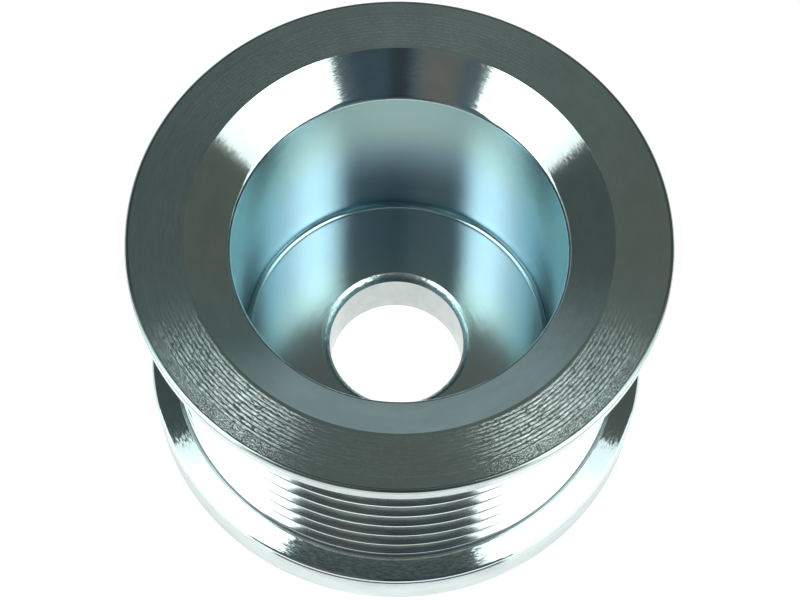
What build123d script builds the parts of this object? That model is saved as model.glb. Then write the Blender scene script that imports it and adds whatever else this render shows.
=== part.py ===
"""Ribbed alternator pulley, turned in one piece from steel bar.

Origin at the middle of the back face, which clamps against the alternator.
+Z runs along the bore to the open front face. Millimetres and degrees.
"""

import os
from math import radians, sin, tan

from build123d import *

os.makedirs("parts", exist_ok=True)

# Hub and bore
bore_radius = 8.5             # slides on a 17 mm rotor shaft
hub_thickness = 8.6           # back face to the floor of the nut recess
bore_lead_in = 0.9            # 45 degree chamfer on the recess side
bore_back_break = 0.4         # 45 degree chamfer on the back face

# Belt ribs: the common 3.56 mm spacing with 40 degree grooves
groove_count = 8
groove_spacing = 3.56
groove_angle = 40.0
groove_bottom_radius = 0.45
rib_tip_width = 0.35          # flat between two grooves, before its edges are rounded
rib_tip_radius = 0.15
rib_radius = 28.0             # over the rib tips
groove_to_flange = 2.59       # middle of an end groove to the flange beside it

# Flanges that keep the belt on
front_flange_rise = 3.0       # above the rib tips
front_flange_thickness = 2.2
front_edge_radius = 0.5
front_inner_edge_radius = 0.25
back_flange_rise = 3.35       # above the rib tips
back_flange_thickness = 6.5
back_edge_radius = 0.5
flange_root_radius = 0.2      # where each flange meets the ribbed drum

# Nut recess, open to the front, with a dished mouth
drum_wall = 5.16              # groove bottoms to the recess
recess_foot_radius = 0.8
front_face_width = 6.7        # flat ring between the dish and the rim
dish_slope = 31.5             # from the plane of the front face
dish_mouth_radius = 0.8

# Grooves worked out from their spacing and angle
groove_width = groove_spacing - rib_tip_width
groove_half_angle = radians(groove_angle / 2)
groove_tip_depth = groove_width / 2 / tan(groove_half_angle)
groove_depth = groove_tip_depth - groove_bottom_radius * (1 / sin(groove_half_angle) - 1)

# Radii that follow from the sizes above
front_flange_radius = rib_radius + front_flange_rise
back_flange_radius = rib_radius + back_flange_rise
dish_radius = front_flange_radius - front_face_width
recess_radius = rib_radius - groove_depth - drum_wall

# Heights that follow from the sizes above
first_groove_height = back_flange_thickness + groove_to_flange
last_groove_height = first_groove_height + (groove_count - 1) * groove_spacing
front_flange_back = last_groove_height + groove_to_flange
width = front_flange_back + front_flange_thickness
mouth_height = width - (dish_radius - recess_radius) * tan(radians(dish_slope))


def corner(radius, height):
    """The corner of the half section at this radius and height."""
    return half_section.vertices().sort_by_distance((radius, height))[0]


with BuildPart() as pulley:
    with BuildSketch(Plane.XZ) as half_section:
        # The blank: hub, drum, two flanges and the dished recess
        with BuildLine():
            Polyline(
                (bore_radius, 0),
                (back_flange_radius, 0),
                (back_flange_radius, back_flange_thickness),
                (rib_radius, back_flange_thickness),
                (rib_radius, front_flange_back),
                (front_flange_radius, front_flange_back),
                (front_flange_radius, width),
                (dish_radius, width),
                (recess_radius, mouth_height),
                (recess_radius, hub_thickness),
                (bore_radius, hub_thickness),
                close=True,
            )
        make_face()

        # One V for each rib of the belt
        for groove in range(groove_count):
            groove_height = first_groove_height + groove * groove_spacing
            with BuildLine():
                Polyline(
                    (rib_radius, groove_height - groove_width / 2),
                    (rib_radius - groove_tip_depth, groove_height),
                    (rib_radius, groove_height + groove_width / 2),
                    close=True,
                )
            make_face(mode=Mode.SUBTRACT)

        # Rounded groove bottoms and rib tips
        for groove in range(groove_count):
            groove_height = first_groove_height + groove * groove_spacing
            fillet(corner(rib_radius - groove_tip_depth, groove_height), groove_bottom_radius)
            fillet(corner(rib_radius, groove_height - groove_width / 2), rib_tip_radius)
            fillet(corner(rib_radius, groove_height + groove_width / 2), rib_tip_radius)

        # Edges of the flanges
        fillet(corner(back_flange_radius, 0), back_edge_radius)
        fillet(corner(back_flange_radius, back_flange_thickness), back_edge_radius)
        fillet(corner(rib_radius, back_flange_thickness), flange_root_radius)
        fillet(corner(rib_radius, front_flange_back), flange_root_radius)
        fillet(corner(front_flange_radius, front_flange_back), front_inner_edge_radius)
        fillet(corner(front_flange_radius, width), front_edge_radius)

        # Edges of the recess and the bore
        fillet(corner(recess_radius, mouth_height), dish_mouth_radius)
        fillet(corner(recess_radius, hub_thickness), recess_foot_radius)
        chamfer(corner(bore_radius, hub_thickness), bore_lead_in)
        chamfer(corner(bore_radius, 0), bore_back_break)
    revolve(axis=Axis.Z)

pulley.part.label = "pulley"
export_step(pulley.part, "parts/pulley.step")
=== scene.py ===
"""The looks of an alternator pulley: bright zinc on turned steel, between two soft lights."""

from collections import namedtuple
from math import atan2, cos, pi, radians, sin, tan

import bpy
import numpy as np
from mathutils import Matrix, Vector


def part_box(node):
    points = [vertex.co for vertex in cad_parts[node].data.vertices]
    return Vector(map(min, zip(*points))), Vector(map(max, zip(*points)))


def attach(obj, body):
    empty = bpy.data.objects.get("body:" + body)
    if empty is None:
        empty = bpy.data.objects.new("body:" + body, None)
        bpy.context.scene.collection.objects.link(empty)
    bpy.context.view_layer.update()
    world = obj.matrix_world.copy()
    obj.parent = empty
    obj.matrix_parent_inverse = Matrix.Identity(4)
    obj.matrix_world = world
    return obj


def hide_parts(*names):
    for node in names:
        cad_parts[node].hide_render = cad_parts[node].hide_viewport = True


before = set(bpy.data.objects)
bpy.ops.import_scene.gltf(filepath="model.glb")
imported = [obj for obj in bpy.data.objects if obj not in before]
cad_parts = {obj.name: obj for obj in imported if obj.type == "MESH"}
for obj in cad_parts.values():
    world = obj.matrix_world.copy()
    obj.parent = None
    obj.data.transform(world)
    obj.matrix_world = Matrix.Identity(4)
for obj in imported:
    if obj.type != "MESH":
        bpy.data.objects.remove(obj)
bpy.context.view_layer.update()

MM = 0.001
DEGREES = 180 / pi
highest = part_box("pulley")[1]
width = highest.z / MM

# The turned section, in millimetres, with the names and sizes of the part's source
bore_radius = 8.5
hub_thickness = 8.6
bore_lead_in = 0.9
bore_back_break = 0.4
groove_count = 8
groove_spacing = 3.56
groove_angle = 40.0
groove_bottom_radius = 0.45
rib_tip_width = 0.35
rib_tip_radius = 0.22         # cut at 0.15 and softened by the plating
rib_radius = 28.0
groove_to_flange = 2.59
front_flange_rise = 3.0
front_flange_thickness = 2.2
front_edge_radius = 0.5
front_inner_edge_radius = 0.25
back_flange_rise = 3.35
back_flange_thickness = 6.5
back_edge_radius = 0.5
flange_root_radius = 0.2
drum_wall = 5.16
recess_foot_radius = 0.8
front_face_width = 6.7
dish_slope = 31.5
dish_mouth_radius = 0.8
sharp_edge_break = 0.08       # what the plating leaves of a sharp edge

groove_width = groove_spacing - rib_tip_width
groove_half_angle = radians(groove_angle / 2)
groove_tip_depth = groove_width / 2 / tan(groove_half_angle)
groove_depth = groove_tip_depth - groove_bottom_radius * (1 / sin(groove_half_angle) - 1)
front_flange_radius = rib_radius + front_flange_rise
back_flange_radius = rib_radius + back_flange_rise
dish_radius = front_flange_radius - front_face_width
recess_radius = rib_radius - groove_depth - drum_wall
first_groove_height = back_flange_thickness + groove_to_flange
front_flange_back = width - front_flange_thickness
mouth_height = width - (dish_radius - recess_radius) * tan(radians(dish_slope))

# How finely the mesh is cut
STEPS_ROUND = 400
STEPS_PER_ARC = 5
STEPS_PER_SHARP_EDGE = 2

# A corner's surface is the one that follows it. A facet runs on to the start of the next
Corner = namedtuple("Corner", "radius height rounding surface")
Facet = namedtuple("Facet", "start start_normal end_normal surface")


def section_corners():
    """The corners of the half section in turn, from the bore's back edge."""
    corners = [
        (bore_radius + bore_back_break, 0, sharp_edge_break, "back"),
        (back_flange_radius, 0, back_edge_radius, "rim"),
        (back_flange_radius, back_flange_thickness, back_edge_radius, "back_flange"),
        (rib_radius, back_flange_thickness, flange_root_radius, "ribs"),
    ]
    for groove in range(groove_count):
        middle = first_groove_height + groove * groove_spacing
        corners += [
            (rib_radius, middle - groove_width / 2, rib_tip_radius, "ribs"),
            (rib_radius - groove_tip_depth, middle, groove_bottom_radius, "ribs"),
            (rib_radius, middle + groove_width / 2, rib_tip_radius, "ribs"),
        ]
    corners += [
        (rib_radius, front_flange_back, flange_root_radius, "front_flange"),
        (front_flange_radius, front_flange_back, front_inner_edge_radius, "rim"),
        (front_flange_radius, width, front_edge_radius, "face"),
        (dish_radius, width, sharp_edge_break, "dish"),
        (recess_radius, mouth_height, dish_mouth_radius, "wall"),
        (recess_radius, hub_thickness, recess_foot_radius, "floor"),
        (bore_radius + bore_lead_in, hub_thickness, sharp_edge_break, "lead_in"),
        (bore_radius, hub_thickness - bore_lead_in, sharp_edge_break, "bore"),
        (bore_radius, bore_back_break, sharp_edge_break, "bore"),
    ]
    return [Corner(*corner) for corner in corners]


def place_of(corner):
    return np.array([corner.radius, corner.height], float)


def unit(vector):
    return vector / np.linalg.norm(vector)


def rounded_corner(last, corner, following):
    """Points on the arc that rounds a corner, each with the normal that points out of the metal."""
    tip = place_of(corner)
    before = unit(place_of(last) - tip)
    after = unit(place_of(following) - tip)
    opening = np.arccos(np.clip(before @ after, -1, 1))
    centre = tip + unit(before + after) * corner.rounding / sin(opening / 2)
    tangent = corner.rounding / tan(opening / 2)
    start = tip + before * tangent - centre
    end = tip + after * tangent - centre
    turns_left = before[1] * after[0] - before[0] * after[1] > 0
    outward = 1 if turns_left else -1
    angle = atan2(start[1], start[0])
    sweep = (atan2(end[1], end[0]) - angle + pi) % (2 * pi) - pi
    steps = STEPS_PER_ARC if corner.rounding > sharp_edge_break else STEPS_PER_SHARP_EDGE
    arc = []
    for step in range(steps + 1):
        along = angle + sweep * step / steps
        spoke = np.array([cos(along), sin(along)])
        arc.append((centre + corner.rounding * spoke, outward * spoke))
    return arc


def surface_of_arc(corner):
    """The surface that the rounding of a corner belongs to."""
    # The roots' roundings get their own material, darkened as painted shade.
    if corner.rounding == flange_root_radius:
        return "root"
    # The front face's outer edge gets its own material, darkened as painted shade.
    if (corner.radius, corner.height) == (front_flange_radius, width):
        return "edge"
    return {"floor": "foot", "wall": "dish"}.get(corner.surface, corner.surface)


def section_facets():
    """The rounded half section as short straight facets."""
    corners = section_corners()
    facets = []
    for index, corner in enumerate(corners):
        following = corners[(index + 1) % len(corners)]
        arc = rounded_corner(corners[index - 1], corner, following)
        for (point, normal), (_, next_normal) in zip(arc, arc[1:]):
            facets.append(Facet(point, normal, next_normal, surface_of_arc(corner)))
        point, normal = arc[-1]
        facets.append(Facet(point, normal, normal, corner.surface))
    return facets


def swept(section):
    """Pairs of radius and height, each carried once round the bore."""
    section = np.array(section)
    turn = np.arange(STEPS_ROUND) * 2 * pi / STEPS_ROUND
    rings = np.empty((len(section), STEPS_ROUND, 3))
    rings[..., 0] = section[:, :1] * np.cos(turn)
    rings[..., 1] = section[:, :1] * np.sin(turn)
    rings[..., 2] = section[:, 1:]
    return rings


def turned_mesh(name, materials):
    """The section swept round the bore, with the exact normals of a turned surface."""
    facets = section_facets()
    points = swept([facet.start * MM for facet in facets])
    ring = np.arange(len(facets))[:, None] * STEPS_ROUND
    next_ring = np.roll(ring, -1)
    here = np.arange(STEPS_ROUND)
    there = np.roll(here, -1)
    faces = np.stack([ring + here, ring + there, next_ring + there, next_ring + here], 2)
    mesh = bpy.data.meshes.new(name)
    mesh.from_pydata(points.reshape(-1, 3).tolist(), [], faces.reshape(-1, 4).tolist())

    slots = {}
    for surface, material in materials.items():
        slots[surface] = len(slots)
        mesh.materials.append(material)
    face_slots = np.repeat([slots[facet.surface] for facet in facets], STEPS_ROUND)
    mesh.polygons.foreach_set("material_index", face_slots)
    mesh.polygons.foreach_set("use_smooth", np.ones(len(face_slots), bool))

    starts = swept([facet.start_normal for facet in facets])
    ends = swept([facet.end_normal for facet in facets])
    normals = np.stack([starts[:, here], starts[:, there], ends[:, there], ends[:, here]], 2)
    mesh.normals_split_custom_set(normals.reshape(-1, 3).tolist())
    mesh.update()
    return mesh


# Sockets of a mix node that has been set to colours
MIX_SHARE = 0
MIX_FIRST = 6
MIX_SECOND = 7
MIX_RESULT = 2


class Nodes:
    """Short calls for adding nodes to a tree and joining them."""

    def __init__(self, tree):
        self.tree = tree
        tree.nodes.clear()

    def add(self, kind, inputs=None, **settings):
        """A new node. Its inputs are values, or sockets to join to."""
        node = self.tree.nodes.new(kind)
        for name, value in settings.items():
            setattr(node, name, value)
        for socket, value in (inputs or {}).items():
            if isinstance(value, bpy.types.NodeSocket):
                self.tree.links.new(value, node.inputs[socket])
            else:
                node.inputs[socket].default_value = value
        return node

    def math(self, operation, *values):
        inputs = dict(enumerate(values))
        return self.add("ShaderNodeMath", inputs, operation=operation).outputs[0]

    def product(self, first, *others):
        for other in others:
            first = self.math("MULTIPLY", first, other)
        return first

    def vector(self, operation, *values, out="Vector"):
        inputs = dict(enumerate(values))
        return self.add("ShaderNodeVectorMath", inputs, operation=operation).outputs[out]

    def scale(self, vector, share):
        inputs = {0: vector, "Scale": share}
        return self.add("ShaderNodeVectorMath", inputs, operation="SCALE").outputs["Vector"]

    def split(self, vector):
        """The three parts of a vector, by the names X, Y and Z."""
        return self.add("ShaderNodeSeparateXYZ", {0: vector}).outputs

    def bearing(self, parts):
        """Degrees round from the camera's side, positive to the right."""
        forward = self.math("MULTIPLY", parts["Y"], -1.0)
        return self.math("MULTIPLY", self.math("ARCTAN2", parts["X"], forward), DEGREES)

    def step(self, value, low, high, bottom=0.0, top=1.0):
        """Goes smoothly from bottom to top as the value goes from low to high."""
        if low > high:
            low, high, bottom, top = high, low, top, bottom
        inputs = {
            "Value": value,
            "From Min": low,
            "From Max": high,
            "To Min": bottom,
            "To Max": top,
        }
        node = self.add("ShaderNodeMapRange", inputs, interpolation_type="SMOOTHSTEP")
        return node.outputs["Result"]

    def band(self, value, low, high, soft):
        """One between low and high, with edges that fade over the soft width, and nought elsewhere."""
        rise = self.step(value, low - soft / 2, low + soft / 2)
        return self.math("MULTIPLY", rise, self.step(value, high + soft / 2, high - soft / 2))

    def mix(self, share, first, second):
        """A colour between two colours."""
        inputs = {MIX_SHARE: share, MIX_FIRST: first, MIX_SECOND: second}
        return self.add("ShaderNodeMix", inputs, data_type="RGBA").outputs[MIX_RESULT]


def colour(red, green, blue):
    return (red, green, blue, 1.0)


def grey(level):
    return colour(level, level, level)


WHITE = grey(1)
BLACK = grey(0)

NOISE_ROUGHNESS = 0.6
NOISE_SPREAD = 0.12           # how far the noise usually strays from its middle of one half
HEIGHT_IN_LINES = 1.3         # how much a millimetre of height counts beside one of radius


class TurnedSurface:
    """Where a point lies on the turned part, and the directions along and across its lathe lines."""

    def __init__(self, nodes):
        self.nodes = nodes
        place = nodes.add("ShaderNodeTexCoord").outputs["Object"]
        parts = nodes.split(nodes.scale(place, 1 / MM))
        flat = nodes.add("ShaderNodeCombineXYZ", {"X": parts["X"], "Y": parts["Y"]}).outputs[0]
        self.radius = nodes.vector("LENGTH", flat, out="Value")
        self.height = parts["Z"]
        self.spoke = nodes.vector("NORMALIZE", flat)
        self.normal = nodes.add("ShaderNodeNewGeometry").outputs["Normal"]
        self.around = nodes.add("ShaderNodeTangent", direction_type="RADIAL", axis="Z").outputs[0]
        self.across = nodes.vector("CROSS_PRODUCT", self.around, self.normal)
        rise = nodes.math("MULTIPLY", self.height, HEIGHT_IN_LINES)
        self.line = nodes.math("ADD", self.radius, rise)

    def grain(self, pitch, length, start=0.0, detail=2.0):
        """Streaky noise: pitch in mm across the lathe lines, length in degrees along them."""
        nodes = self.nodes
        along = nodes.scale(self.spoke, DEGREES / length)
        number = nodes.math("ADD", nodes.math("MULTIPLY", self.line, 1 / pitch), start)
        upright = nodes.add("ShaderNodeCombineXYZ", {"Z": number}).outputs[0]
        inputs = {
            "Vector": nodes.vector("ADD", along, upright),
            "Scale": 1.0,
            "Detail": detail,
            "Roughness": NOISE_ROUGHNESS,
        }
        return nodes.add("ShaderNodeTexNoise", inputs)

    def tilt(self, amount, degrees):
        """Noise from nought to one as a slope that usually strays this many degrees."""
        gain = tan(radians(degrees)) / NOISE_SPREAD
        return self.nodes.math("MULTIPLY", self.nodes.math("SUBTRACT", amount, 0.5), gain)

    def bent_normal(self, across_slope, around_slope):
        nodes = self.nodes
        first = nodes.vector("ADD", self.normal, nodes.scale(self.across, across_slope))
        both = nodes.vector("ADD", first, nodes.scale(self.around, around_slope))
        return nodes.vector("NORMALIZE", both)


PATCH_PITCH = 4.0
PATCH_LENGTH = 12.0
PATCH_SHARE = 0.05
QUARTER_TURN = 0.25

# Where each noise starts, so that no two are alike
WANDER_START = 5.0
HAIRS_START = 11.0
SPECKS_START = 23.0
PATCHES_START = 31.0


def turned_metal(name, tint, lines, roughness, anisotropy, marks=None, glance=WHITE,
                 patches=PATCH_SHARE, upper=None):
    """Plated steel with lathe lines.

    Marks is a function that gives a slope of its own. Glance is the tint at grazing angles. Patches
    is the share by which tint and roughness vary. Upper is a second tint, and the heights between
    which the first turns into it.
    """
    material = bpy.data.materials.new(name)
    material.use_nodes = True
    nodes = Nodes(material.node_tree)
    surface = TurnedSurface(nodes)
    pitch, length, across, along = lines
    noise = surface.grain(pitch, length).outputs["Color"]
    channels = nodes.add("ShaderNodeSeparateColor", {0: noise}).outputs
    across_slope = surface.tilt(channels["Red"], across)
    around_slope = surface.tilt(channels["Green"], along)
    if marks:
        across_slope = nodes.math("ADD", across_slope, marks(surface))
    base = colour(*tint)
    if patches:
        less = 1 - patches
        more = 1 + patches
        cloud = surface.grain(PATCH_PITCH, PATCH_LENGTH, start=PATCHES_START).outputs["Fac"]
        shade = nodes.step(cloud, 0.5 - 2 * NOISE_SPREAD, 0.5 + 2 * NOISE_SPREAD)
        dark, pale = [colour(*[part * share for part in tint]) for share in (less, more)]
        base = nodes.mix(shade, dark, pale)
        roughness = nodes.step(shade, 0, 1, roughness * more, roughness * less)
    if upper:
        second, low, high = upper
        base = nodes.mix(nodes.step(surface.height, low, high), base, colour(*second))
    metal = nodes.add("ShaderNodeBsdfPrincipled", {
        "Base Color": base,
        "Metallic": 1.0,
        "Roughness": roughness,
        "Anisotropic": anisotropy,
        "Anisotropic Rotation": QUARTER_TURN,
        "Specular Tint": glance,
        "Tangent": surface.around,
        "Normal": surface.bent_normal(across_slope, around_slope),
    }).outputs[0]
    nodes.add("ShaderNodeOutputMaterial", {"Surface": metal})
    return material


# Marks that the facing tool left on the front face, in mm and degrees. They lie between dark lines,
# and are torn rather than lined near the rim. A band is two radii and the width its edges fade over
FACING_SLOPE = 23.0
FACING_BAND = (24.6, 29.3, 0.5)
LINE_PITCH = 0.45
BETWEEN_LINES = (0.24, 0.96, 0.2)   # as shares of the pitch
WANDER_SIZE = (5.0, 30.0)
HAIR_SIZE = (0.06, 1.0)
HAIR_LIMITS = (0.43, 0.53)          # the noise at which a mark begins, and at which it is full
TORN_BAND = (29.1, 30.7, 0.6)
SPECK_SIZE = (0.08, 0.20)
SPECK_LIMITS = (0.52, 0.58)
FINE_PITCH = 0.045                  # of the fine grooves that every mark is made of
STEEP_SHARE = 0.32                  # how much of a fine groove faces outward


def facing_marks(surface):
    """Outward slope of the tool marks on the front face."""
    nodes = surface.nodes
    wander = surface.grain(*WANDER_SIZE, start=WANDER_START, detail=0.0).outputs["Fac"]
    turns = nodes.math("ADD", nodes.math("MULTIPLY", surface.radius, 1 / LINE_PITCH), wander)
    between_lines = nodes.band(nodes.math("FRACT", turns), *BETWEEN_LINES)
    in_band = nodes.band(surface.radius, *FACING_BAND)
    hairs = surface.grain(*HAIR_SIZE, start=HAIRS_START, detail=1.0).outputs["Fac"]
    lined = nodes.product(between_lines, in_band, nodes.step(hairs, *HAIR_LIMITS))
    near_rim = nodes.band(surface.radius, *TORN_BAND)
    specks = surface.grain(*SPECK_SIZE, start=SPECKS_START, detail=1.0).outputs["Fac"]
    torn = nodes.product(nodes.step(specks, *SPECK_LIMITS), near_rim)
    fine_turns = nodes.math("MULTIPLY", surface.radius, 1 / FINE_PITCH)
    steep = nodes.math("LESS_THAN", nodes.math("FRACT", fine_turns), STEEP_SHARE)
    return nodes.product(nodes.math("MAXIMUM", lined, torn), steep, tan(radians(FACING_SLOPE)))


WORN_RADII = (26.6, 27.8)
WORN_SLOPES = (-0.035, 0.035)


def worn_ribs(surface):
    """Slope that rounds the rib flanks slightly, from inward at the grooves to outward at the tips."""
    return surface.nodes.step(surface.radius, *WORN_RADII, *WORN_SLOPES)


FLANGE_SLOPE = 20.0           # degrees
FLANGE_SLOPE_RADII = (rib_radius + 0.2, rib_radius + 0.5)


def sloped_flange(surface):
    """Slope of the back flange's ribbed side, which falls away outward from its root."""
    full = tan(radians(FLANGE_SLOPE))
    return surface.nodes.step(surface.radius, *FLANGE_SLOPE_RADII, 0.0, full)


SOFTENED_RADII = (bore_radius + 0.1, bore_radius + bore_lead_in)
SOFTENED_SLOPE = 0.42


def softened_edge(surface):
    """Outward slope that rounds the bore's chamfer into the recess floor."""
    return surface.nodes.step(surface.radius, *SOFTENED_RADII, 0.0, SOFTENED_SLOPE)


STEEL = (0.80, 0.85, 0.83)
BLUE_WALL = (0.375, 0.545, 0.64)
TEAL_WALL = (0.43, 0.61, 0.60)
BLUE_TO_TEAL = (19, 30)       # heights in mm
BLUE_FLOOR = (0.88, 0.88, 0.90)
BLUE_GLANCE = (0.75, 0.88, 0.90)
# The bore's tint is darker than the steel as painted shade inside the bore, where the floor that it
# mirrors glows brightly.
BORE = (0.50, 0.54, 0.52)
FLANGE = (0.70, 0.77, 0.78)
FOOT = (0.60, 0.76, 0.80)
# The dark tint of the front face's rounded outer edge is painted shade, for the dark surroundings that
# it mirrors.
EDGE_PAINTED_SHADE = (0.42, 0.47, 0.45)
# The dark tint of the rounded corners at the flange roots is painted shade, for the light that these
# narrow corners trap.
ROOT_PAINTED_SHADE = (0.22, 0.22, 0.23)

# Lathe lines: their pitch in mm, their length in degrees, and their slopes across and along in degrees
BACK_LINES = (0.35, 8.0, 4.0, 0.4)
RIM_LINES = (0.30, 8.0, 1.0, 0.3)
FLANGE_LINES = (0.20, 1.5, 0.35, 0.5)
ROOT_LINES = (0.20, 5.0, 5.0, 2.0)
RIB_LINES = (0.60, 9.0, 0.3, 0.2)
FACE_LINES = (0.12, 4.0, 1.5, 0.4)
DISH_LINES = (0.04, 1.8, 0.7, 0.5)
RECESS_LINES = (0.30, 12.0, 0.3, 0.05)
LEAD_IN_LINES = (0.15, 2.0, 4.0, 3.0)
BORE_LINES = (6.0, 5.0, 0.5, 2.0)

# Each surface: the material's name, tint, lathe lines, roughness and anisotropy
materials = {
    "back": turned_metal("back_face", STEEL, BACK_LINES, 0.22, 0.6),
    "rim": turned_metal("rims", STEEL, RIM_LINES, 0.18, 0.5),
    "edge": turned_metal("flange_edge_painted_shade", EDGE_PAINTED_SHADE, RIM_LINES, 0.20, 0.3),
    "back_flange": turned_metal("back_flange", FLANGE, FLANGE_LINES, 0.08, 0.3, marks=sloped_flange),
    "front_flange": turned_metal("front_flange", STEEL, RIM_LINES, 0.12, 0.4),
    "root": turned_metal("root_corners_painted_shade", ROOT_PAINTED_SHADE, ROOT_LINES, 0.45, 0.3),
    "ribs": turned_metal("ribs", STEEL, RIB_LINES, 0.10, 0.4, marks=worn_ribs),
    "face": turned_metal("front_face", STEEL, FACE_LINES, 0.20, 0.4, marks=facing_marks),
    "dish": turned_metal("dish", STEEL, DISH_LINES, 0.09, 0.5),
    "wall": turned_metal("recess_wall", BLUE_WALL, RECESS_LINES, 0.26, 0.80,
                         glance=colour(*BLUE_GLANCE), patches=0.0, upper=(TEAL_WALL, *BLUE_TO_TEAL)),
    "foot": turned_metal("recess_foot", FOOT, RECESS_LINES, 0.13, 0.3, patches=0.0),
    "floor": turned_metal("recess_floor", BLUE_FLOOR, RECESS_LINES, 0.17, 0.6, patches=0.0),
    "lead_in": turned_metal("bore_lead_in", STEEL, LEAD_IN_LINES, 0.20, 0.1, marks=softened_edge),
    "bore": turned_metal("bore", BORE, BORE_LINES, 0.22, 0.2),
}
mesh = turned_mesh("pulley_surface", materials)
pulley = bpy.data.objects.new("turned_pulley", mesh)
bpy.context.scene.collection.objects.link(pulley)
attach(pulley, "root")
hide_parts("pulley")


# The floor shows the camera and the metal a white ground, and keeps the pulley's shadow.
# Its size is in metres, other reaches in mm from the bore's middle, and bearings in degrees
FLOOR_SIZE = 4.0
PAINT = 0.55
PAINT_TO_CAMERA = 0.25
GLOW_TO_CAMERA = 0.94
BORE_GLOW = 0.14              # more of it, where the floor shows through the bore
BORE_GLOW_EDGE = (bore_radius + 2, bore_radius + 6)

# What the metal mirrors of the floor: under the bore, near the pulley, and farther round and behind
# it. The dimmer glow near the pulley is a painted shadow
GLOW_UNDER_BORE = 1.00
GLOW_NEARBY = 0.50
GLOW_AROUND = 1.05
GLOW_BEHIND = 0.42
BORE_TO_NEARBY = (12, 20)
NEARBY_TO_AROUND = (46, 75)
AROUND_TO_BEHIND = (105, 130)

# The bright flange throws light on the floor beside it, all round except in its shade in front
FLANGE_LIGHT = 0.70
FLANGE_LIGHT_BAND = (33.5, 40.0, 0.4)
SHADE_BAND = (-29.0, 29.0, 4.0)
SHADE_LEVEL = 0.05            # what is left there of the floor's light


def floor_material(name):
    material = bpy.data.materials.new(name)
    material.use_nodes = True
    nodes = Nodes(material.node_tree)
    path = nodes.add("ShaderNodeLightPath").outputs
    to_camera = path["Is Camera Ray"]
    to_metal = nodes.math("MAXIMUM", path["Is Glossy Ray"], path["Is Transmission Ray"])
    place = nodes.add("ShaderNodeTexCoord").outputs["Object"]
    reach = nodes.math("DIVIDE", nodes.vector("LENGTH", place, out="Value"), MM)
    bearing = nodes.bearing(nodes.split(place))

    beside = nodes.band(reach, *FLANGE_LIGHT_BAND)
    shade = nodes.math("MULTIPLY", nodes.band(bearing, *SHADE_BAND), beside)
    lit = nodes.step(shade, 0, 1, 1.0, SHADE_LEVEL)
    thrown = nodes.math("MULTIPLY", nodes.math("SUBTRACT", beside, shade), FLANGE_LIGHT)
    nearby = nodes.step(reach, *BORE_TO_NEARBY, GLOW_UNDER_BORE, GLOW_NEARBY)
    turned_away = nodes.math("ABSOLUTE", bearing)
    around = nodes.step(turned_away, *AROUND_TO_BEHIND, GLOW_AROUND, GLOW_BEHIND)
    ground = nodes.step(reach, *NEARBY_TO_AROUND, nearby, around)
    floor_light = nodes.math("ADD", nodes.math("MULTIPLY", lit, ground), thrown)
    mirrored = nodes.math("MULTIPLY", to_metal, floor_light)

    in_bore = nodes.step(reach, *BORE_GLOW_EDGE, BORE_GLOW, 0.0)
    shown = nodes.math("MULTIPLY", to_camera, nodes.math("ADD", in_bore, GLOW_TO_CAMERA))
    strength = nodes.math("ADD", shown, mirrored)
    glow = nodes.add("ShaderNodeEmission", {"Color": WHITE, "Strength": strength}).outputs[0]
    paint_colour = nodes.mix(to_camera, nodes.mix(lit, BLACK, grey(PAINT)), grey(PAINT_TO_CAMERA))
    paint = nodes.add("ShaderNodeBsdfDiffuse", {"Color": paint_colour}).outputs[0]
    both = nodes.add("ShaderNodeAddShader", {0: glow, 1: paint}).outputs[0]
    nodes.add("ShaderNodeOutputMaterial", {"Surface": both})
    return material


def white_floor():
    half = FLOOR_SIZE / 2
    corners = [(-half, -half, 0), (half, -half, 0), (half, half, 0), (-half, half, 0)]
    mesh = bpy.data.meshes.new("floor")
    mesh.from_pydata(corners, [], [(0, 1, 2, 3)])
    mesh.materials.append(floor_material("white_floor"))
    floor = bpy.data.objects.new("floor", mesh)
    bpy.context.scene.collection.objects.link(floor)


white_floor()

# Two tall soft lights stand left and right, a little to the front, in metres and degrees
LIGHT_DISTANCE = 0.30
LIGHT_HEIGHT = 0.74
LIGHT_RADIANCE = 3.2          # in the middle of each light
LIGHT_TINT = (0.88, 1.0, 0.985)
LIGHT_BEARING = 72.0          # the way that a light stands square to
LIGHT_AT_EDGES = 0.38         # as a share of the middle
LIGHT_RISES = (-0.29, -0.17)  # along the view, from the near edge to the bright middle
LIGHT_FALLS = (-0.13, 0.00)   # and from there to the far edge
LEFT_LIGHT = (-45.5, -92.5)   # bearings of its near edge and its far edge
RIGHT_LIGHT = (39.5, 95.5)


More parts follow.
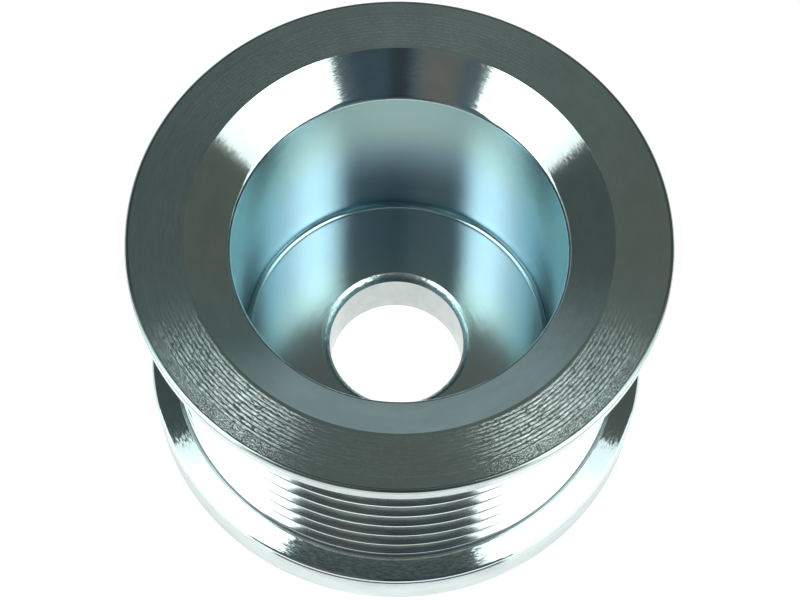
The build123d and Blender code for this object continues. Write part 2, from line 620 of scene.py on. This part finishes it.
def soft_light(name, near_edge, far_edge):
    """An upright panel between two bearings, positive to the right."""
    square = radians(LIGHT_BEARING if far_edge > 0 else -LIGHT_BEARING)
    ends = [LIGHT_DISTANCE * tan(radians(edge) - square) for edge in (near_edge, far_edge)]
    reach = abs(ends[1] - ends[0])
    aside = (ends[0] + ends[1]) / 2
    outward = Vector((sin(square), -cos(square), 0))
    sideways = Vector((cos(square), sin(square), 0))
    light = bpy.data.lights.new(name, "AREA")
    light.shape = "RECTANGLE"
    light.size = reach
    light.size_y = LIGHT_HEIGHT
    light.energy = LIGHT_RADIANCE * pi * reach * LIGHT_HEIGHT
    light.use_nodes = True
    nodes = Nodes(light.node_tree)
    view = nodes.split(nodes.add("ShaderNodeNewGeometry").outputs["Position"])["Y"]
    rise = nodes.step(view, *LIGHT_RISES, LIGHT_AT_EDGES, 1.0)
    fall = nodes.step(view, *LIGHT_FALLS, 1.0, LIGHT_AT_EDGES)
    inputs = {"Color": colour(*LIGHT_TINT), "Strength": nodes.math("MINIMUM", rise, fall)}
    glow = nodes.add("ShaderNodeEmission", inputs).outputs[0]
    nodes.add("ShaderNodeOutputLight", {"Surface": glow})
    panel = bpy.data.objects.new(name, light)
    middle = Vector((0, 0, LIGHT_HEIGHT / 2))
    panel.location = outward * LIGHT_DISTANCE + sideways * aside + middle
    panel.rotation_euler = (-outward).to_track_quat("-Z", "Y").to_euler()
    panel.visible_camera = False
    bpy.context.scene.collection.objects.link(panel)


soft_light("light_left", *LEFT_LIGHT)
soft_light("light_right", *RIGHT_LIGHT)

# The studio round the pulley, by bearing and height in degrees. A span or a band is two limits and
# the width its edges fade over, and a fade is two heights, the second of them in full
OVERHEAD_LEFT = (0.060, 0.082, 0.078)
OVERHEAD_RIGHT = (0.088, 0.107, 0.094)
OVERHEAD_TURNS = (-0.11, 0.11)            # sideways, as a share of the whole way
BACKDROP = (0.108, 0.137, 0.133)
BACKDROP_SPAN = (-0.09, 0.11, 0.04)       # sideways too
BACKDROP_BAND = (48, 64, 6)
HORIZON = (0.21, 0.275, 0.29)
HORIZON_RIGHT = (0.07, 0.115, 0.12)
HORIZON_RIGHT_SPAN = (60, 156, 20)
HORIZON_FADE = (27, 8)
SIDE_SPILL = (0.90, 1.55, 1.62)
SIDE_SPILL_SPAN = (90, 115, 12)           # on both sides
SIDE_SPILL_BAND = (55, 64.5, 3)

# The camera's side of it
AHEAD_SPAN = (-46, 42, 4)
FRONT = (0.078, 0.11, 0.128)
FRONT_FADE = (64.5, 62.5)
BEHIND_CAMERA = (0.128, 0.130, 0.124)
BEHIND_CAMERA_SPAN = (-30, -9, 7)
CAMERA_BODY = (0.030, 0.042, 0.053)
CAMERA_BODY_SPAN = (-3, 9, 7)
DARK_SIDE = (0.045, 0.071, 0.092)
DARK_SIDE_SPAN = (0, 30, 12)
RIBS_DARK = (0.038, 0.052, 0.052)         # above the front, where the ribs mirror it
RIBS_PALE = (0.270, 0.320, 0.290)
RIBS_TURN = (65.5, 71.5)                  # the heights between which the dark turns pale
RIBS_FADE = (80, 76)
RIBS_BOW = 38.0                           # how much lower front and dark end towards the sides


def studio_world():
    """A grey studio, paler at the horizon, with light spilt above the two sides."""
    world = bpy.data.worlds.new("studio")
    bpy.context.scene.world = world
    world.use_nodes = True
    nodes = Nodes(world.node_tree)
    way = nodes.split(nodes.add("ShaderNodeTexCoord").outputs["Generated"])
    sideways = way["X"]
    bearing = nodes.bearing(way)
    height = nodes.math("MULTIPLY", nodes.math("ARCSINE", way["Z"]), DEGREES)

    right = nodes.step(sideways, *OVERHEAD_TURNS)
    studio = nodes.mix(right, colour(*OVERHEAD_LEFT), colour(*OVERHEAD_RIGHT))
    behind = nodes.product(nodes.band(sideways, *BACKDROP_SPAN), nodes.band(height, *BACKDROP_BAND))
    studio = nodes.mix(behind, studio, colour(*BACKDROP))
    right = nodes.band(bearing, *HORIZON_RIGHT_SPAN)
    horizon = nodes.mix(right, colour(*HORIZON), colour(*HORIZON_RIGHT))
    studio = nodes.mix(nodes.step(height, *HORIZON_FADE), studio, horizon)
    beside = nodes.band(nodes.math("ABSOLUTE", bearing), *SIDE_SPILL_SPAN)
    spill = nodes.product(beside, nodes.band(height, *SIDE_SPILL_BAND))
    studio = nodes.mix(spill, studio, colour(*SIDE_SPILL))

    front = colour(*FRONT)
    for tint, span in (
        (BEHIND_CAMERA, BEHIND_CAMERA_SPAN),
        (DARK_SIDE, DARK_SIDE_SPAN),
        (CAMERA_BODY, CAMERA_BODY_SPAN),
    ):
        front = nodes.mix(nodes.band(bearing, *span), front, colour(*tint))
    ahead = nodes.band(bearing, *AHEAD_SPAN)
    bow = nodes.product(sideways, sideways, RIBS_BOW)
    bowed = nodes.math("ADD", height, bow)
    above = nodes.mix(nodes.step(bowed, *RIBS_TURN), colour(*RIBS_DARK), colour(*RIBS_PALE))
    studio = nodes.mix(nodes.product(ahead, nodes.step(height, *RIBS_FADE)), studio, above)
    studio = nodes.mix(nodes.product(ahead, nodes.step(bowed, *FRONT_FADE)), studio, front)

    seen = nodes.add("ShaderNodeLightPath").outputs["Is Camera Ray"]
    inputs = {"Color": nodes.mix(seen, studio, WHITE), "Strength": 1.0}
    light = nodes.add("ShaderNodeBackground", inputs).outputs[0]
    nodes.add("ShaderNodeOutputWorld", {"Surface": light})


studio_world()

# The camera stands where the photograph was taken from, in metres and degrees
CAMERA_HEIGHT_ANGLE = 63.10   # above the floor, seen from the middle of the front face
CAMERA_DISTANCE = 0.2140
CAMERA_PAN = 0.066
CAMERA_TILT = -2.065
CAMERA_ROLL = -1.843
NEAREST_SEEN = 0.01
FOCAL_PIXELS = 1900
PICTURE_WIDTH = 800
SENSOR_WIDTH = 36.0           # mm


def photo_camera():
    data = bpy.data.cameras.new("camera")
    data.sensor_width = SENSOR_WIDTH
    data.lens = FOCAL_PIXELS * SENSOR_WIDTH / PICTURE_WIDTH
    data.clip_start = NEAREST_SEEN
    camera = bpy.data.objects.new("camera", data)
    height_angle = radians(CAMERA_HEIGHT_ANGLE)
    front_face = Vector((0, 0, width * MM))
    away = Vector((0, -cos(height_angle), sin(height_angle)))
    turn = Matrix.Rotation(pi / 2 - height_angle, 4, "X")
    turn @= Matrix.Rotation(radians(-CAMERA_PAN), 4, "Y")
    turn @= Matrix.Rotation(radians(CAMERA_TILT), 4, "X")
    turn @= Matrix.Rotation(radians(-CAMERA_ROLL), 4, "Z")
    camera.matrix_world = Matrix.Translation(front_face + away * CAMERA_DISTANCE) @ turn
    bpy.context.scene.collection.objects.link(camera)
    bpy.context.scene.camera = camera


photo_camera()
bpy.context.scene.view_settings.view_transform = "Standard"
